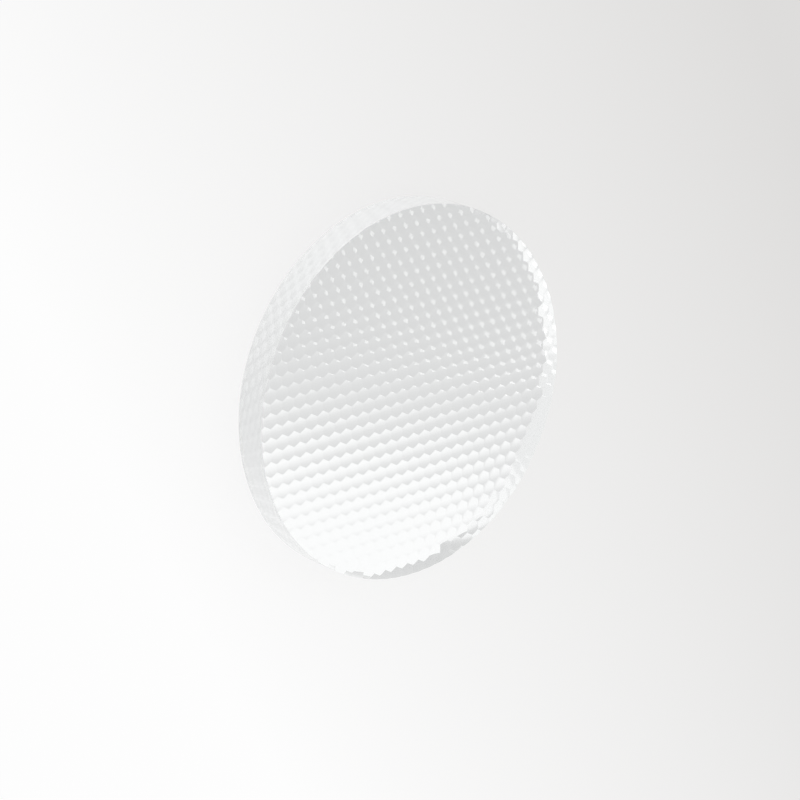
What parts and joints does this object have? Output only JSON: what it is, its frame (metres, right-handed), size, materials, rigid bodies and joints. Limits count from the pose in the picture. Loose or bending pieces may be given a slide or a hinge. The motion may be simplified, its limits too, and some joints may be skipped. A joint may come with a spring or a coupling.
{
  "type": "light spreading lens",
  "caption": "Clear round lens disc that spreads a lamp's beam, flat on one face, with a honeycomb of small convex lenslets on the other and a plain rim.",
  "frame": {"origin": "centre of the flat lower face, on the lens axis", "axes": "+Z along the lens axis, from the flat face towards the lenslets; +X along a row of lenslets"},
  "size_m": [0.05, 0.05, 0.0047],
  "materials": {
    "clear_acrylic": "polished clear acrylic"
  },
  "bodies": {
    "root": {"spreading_lens": "clear_acrylic"}
  },
  "joints": []
}
